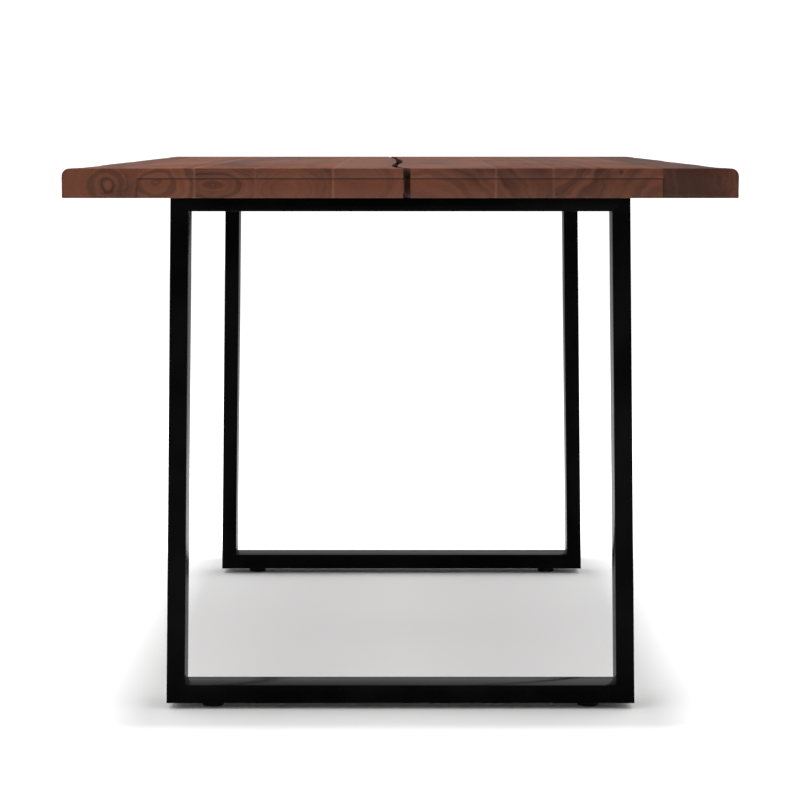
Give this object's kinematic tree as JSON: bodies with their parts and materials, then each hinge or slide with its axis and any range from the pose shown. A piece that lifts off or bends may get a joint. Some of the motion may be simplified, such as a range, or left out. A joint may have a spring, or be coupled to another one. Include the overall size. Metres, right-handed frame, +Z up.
{
  "type": "dining table",
  "caption": "Two-part live-edge wooden table top built from staves, with a natural gap down the middle, on two black rectangular-tube leg frames with screw-adjusted feet.",
  "frame": {"origin": "on the floor, under the middle of the top", "axes": "+X across the table, +Y along the grain, +Z up"},
  "size_m": [0.914, 1.829, 0.762],
  "materials": {
    "walnut_boards": "satin oil",
    "build_up_wood": "satin oil",
    "black_powder_coat": "satin powder coat",
    "zinc_steel": "zinc plated",
    "black_nylon": "moulded, fine grain"
  },
  "bodies": {
    "table": {"left_edge_board": "walnut_boards", "left_stave_1": "walnut_boards", "left_stave_2": "walnut_boards", "left_stave_3": "walnut_boards", "left_gap_stave": "walnut_boards", "right_edge_board": "walnut_boards", "right_stave_1": "walnut_boards", "right_stave_2": "walnut_boards", "right_stave_3": "walnut_boards", "right_gap_stave": "walnut_boards", "left_front_end_batten": "build_up_wood", "left_rear_end_batten": "build_up_wood", "right_front_end_batten": "build_up_wood", "right_rear_end_batten": "build_up_wood", "left_front_leg_batten": "build_up_wood", "left_rear_leg_batten": "build_up_wood", "right_front_leg_batten": "build_up_wood", "right_rear_leg_batten": "build_up_wood", "left_gap_strip": "build_up_wood", "right_gap_strip": "build_up_wood", "centre_cleat": "build_up_wood", "cleat_screws": "zinc_steel", "front_top_rail": "black_powder_coat", "front_bottom_rail": "black_powder_coat", "front_left_upright": "black_powder_coat", "front_right_upright": "black_powder_coat", "rear_top_rail": "black_powder_coat", "rear_bottom_rail": "black_powder_coat", "rear_left_upright": "black_powder_coat", "rear_right_upright": "black_powder_coat", "leg_bolts": "zinc_steel", "leg_washers": "zinc_steel", "wood_inserts": "zinc_steel", "weld_nuts": "zinc_steel"},
    "front_left_foot_stud": {"front_left_stud": "zinc_steel"},
    "front_left_foot_pad": {"front_left_pad": "black_nylon"},
    "front_right_foot_stud": {"front_right_stud": "zinc_steel"},
    "front_right_foot_pad": {"front_right_pad": "black_nylon"},
    "rear_left_foot_stud": {"rear_left_stud": "zinc_steel"},
    "rear_left_foot_pad": {"rear_left_pad": "black_nylon"},
    "rear_right_foot_stud": {"rear_right_stud": "zinc_steel"},
    "rear_right_foot_pad": {"rear_right_pad": "black_nylon"}
  },
  "joints": [
    {"name": "front_left_foot_travel", "type": "slide", "parent": "table", "child": "front_left_foot_stud", "axis": [0, 0, -1], "range_m": [0, 0.01]},
    {"name": "front_left_foot_turn", "type": "hinge", "parent": "front_left_foot_stud", "child": "front_left_foot_pad", "pos_m": [-0.266, -0.7324, 0.0045], "axis": [0, 0, -1], "range_deg": [0, 2880]},
    {"name": "front_right_foot_travel", "type": "slide", "parent": "table", "child": "front_right_foot_stud", "axis": [0, 0, -1], "range_m": [0, 0.01]},
    {"name": "front_right_foot_turn", "type": "hinge", "parent": "front_right_foot_stud", "child": "front_right_foot_pad", "pos_m": [0.266, -0.7324, 0.0045], "axis": [0, 0, -1], "range_deg": [0, 2880]},
    {"name": "rear_left_foot_travel", "type": "slide", "parent": "table", "child": "rear_left_foot_stud", "axis": [0, 0, -1], "range_m": [0, 0.01]},
    {"name": "rear_left_foot_turn", "type": "hinge", "parent": "rear_left_foot_stud", "child": "rear_left_foot_pad", "pos_m": [-0.266, 0.7324, 0.0045], "axis": [0, 0, -1], "range_deg": [0, 2880]},
    {"name": "rear_right_foot_travel", "type": "slide", "parent": "table", "child": "rear_right_foot_stud", "axis": [0, 0, -1], "range_m": [0, 0.01]},
    {"name": "rear_right_foot_turn", "type": "hinge", "parent": "rear_right_foot_stud", "child": "rear_right_foot_pad", "pos_m": [0.266, 0.7324, 0.0045], "axis": [0, 0, -1], "range_deg": [0, 2880]}
  ],
  "couplings": [
    {"joint": "front_left_foot_travel", "follows": "front_left_foot_turn", "m_per_rad": 0.00019894},
    {"joint": "front_right_foot_travel", "follows": "front_right_foot_turn", "m_per_rad": 0.00019894},
    {"joint": "rear_left_foot_travel", "follows": "rear_left_foot_turn", "m_per_rad": 0.00019894},
    {"joint": "rear_right_foot_travel", "follows": "rear_right_foot_turn", "m_per_rad": 0.00019894}
  ]
}
